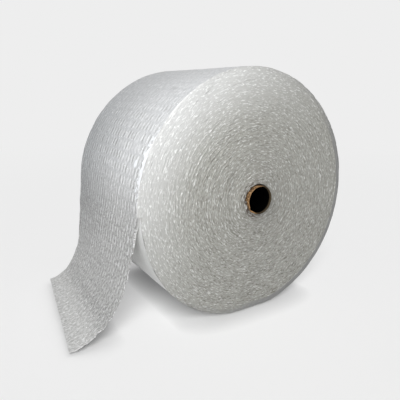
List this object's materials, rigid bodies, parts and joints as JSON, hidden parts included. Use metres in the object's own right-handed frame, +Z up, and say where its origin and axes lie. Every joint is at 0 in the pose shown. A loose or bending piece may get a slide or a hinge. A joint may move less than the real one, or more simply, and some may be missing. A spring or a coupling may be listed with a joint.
{
  "type": "bubble wrap roll",
  "caption": "Large roll of bubble wrap wound on a cardboard core, lying on its side with the free end of the film hanging down to the floor.",
  "frame": {"origin": "on the floor under the roll's axis, at the middle of the roll's flat spot, halfway along the outermost turn", "axes": "+Z up, +Y along the roll's axis, away from the end that the picture shows; the film leaves the roll on the -X side"},
  "size_m": [0.6002, 0.3534, 0.4757],
  "materials": {
    "bubble_film": "clear film that looks pale grey in many layers, with small glints along the bubbles and cut edges",
    "kraft_board": "brown kraft board, matt, with a paler torn rim"
  },
  "bodies": {
    "root": {"film_roll": "bubble_film", "core_tube": "kraft_board"}
  },
  "joints": []
}
